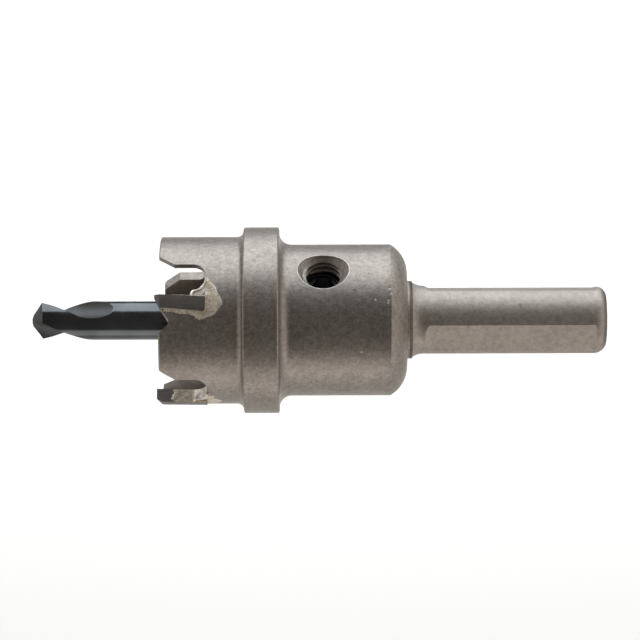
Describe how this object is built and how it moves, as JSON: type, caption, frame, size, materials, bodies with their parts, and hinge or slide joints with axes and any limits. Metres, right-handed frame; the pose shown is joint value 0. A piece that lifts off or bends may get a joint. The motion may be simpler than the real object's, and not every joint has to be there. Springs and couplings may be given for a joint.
{
  "type": "hole saw",
  "caption": "Hole saw with brazed carbide tips, a pilot drill held by a set screw, a flange that stops the cut and a flatted shank for a drill chuck.",
  "frame": {"origin": "centre of the shank's end face", "axes": "+X along the tool's axis, out of the shank's end; +Z towards the set screw"},
  "size_m": [0.0842, 0.0272, 0.0273],
  "materials": {
    "blasted_steel": "bead-blasted and matt, warm grey",
    "carbide": "ground tungsten carbide, dark grey",
    "braze": "silver braze, pale and grainy",
    "black_steel": "black oxide, semi-gloss"
  },
  "bodies": {
    "root": {"cutter_body": "blasted_steel", "carbide_tip_1": "carbide", "carbide_tip_2": "carbide", "carbide_tip_3": "carbide", "carbide_tip_4": "carbide", "tip_braze_1": "braze", "tip_braze_2": "braze", "tip_braze_3": "braze", "tip_braze_4": "braze", "pilot_drill": "black_steel", "set_screw": "black_steel"}
  },
  "joints": []
}
